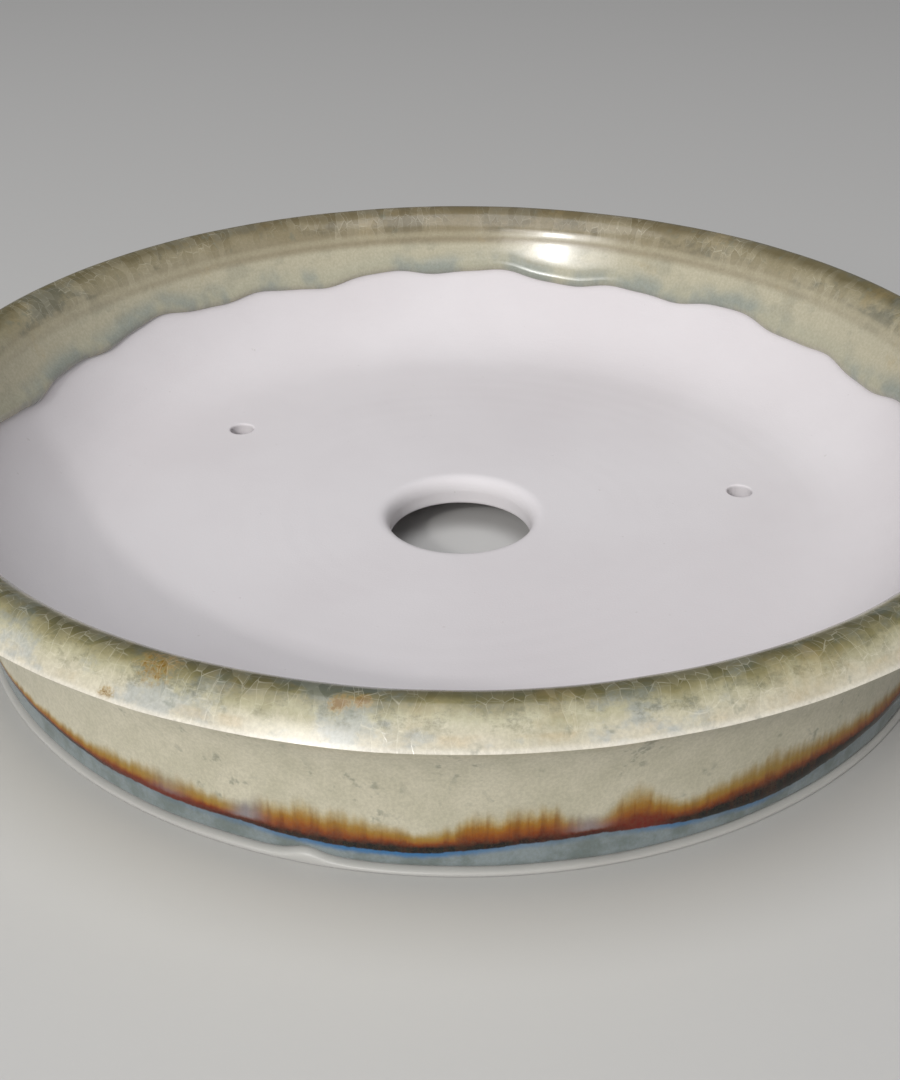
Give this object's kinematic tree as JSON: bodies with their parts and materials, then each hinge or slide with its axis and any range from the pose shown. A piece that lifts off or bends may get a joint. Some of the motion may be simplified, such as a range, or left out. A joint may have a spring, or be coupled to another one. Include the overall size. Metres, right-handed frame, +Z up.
{
  "type": "bonsai pot",
  "caption": "Shallow round porcelain bonsai tray with a rolled crackle-glazed rim, bare inside, central drain hole, wire holes and a full foot ring.",
  "frame": {"origin": "on the ground at the centre of the foot ring", "axes": "+Z up along the axis the pot was thrown on, -Y to the front as seen in the reference view, +X to the right"},
  "size_m": [0.1648, 0.1648, 0.031],
  "materials": {
    "bare_porcelain": "matt fired clay",
    "rim_celadon": "gloss with crackle",
    "wall_celadon": "gloss with specks",
    "iron_glaze": "gloss, pooled",
    "blue_grey_glaze": "gloss, thin"
  },
  "bodies": {
    "root": {"porcelain_body": "bare_porcelain", "foot_ring": "bare_porcelain", "rim_glaze": "rim_celadon", "wall_glaze": "wall_celadon", "iron_line": "iron_glaze", "base_glaze": "blue_grey_glaze"}
  },
  "joints": []
}
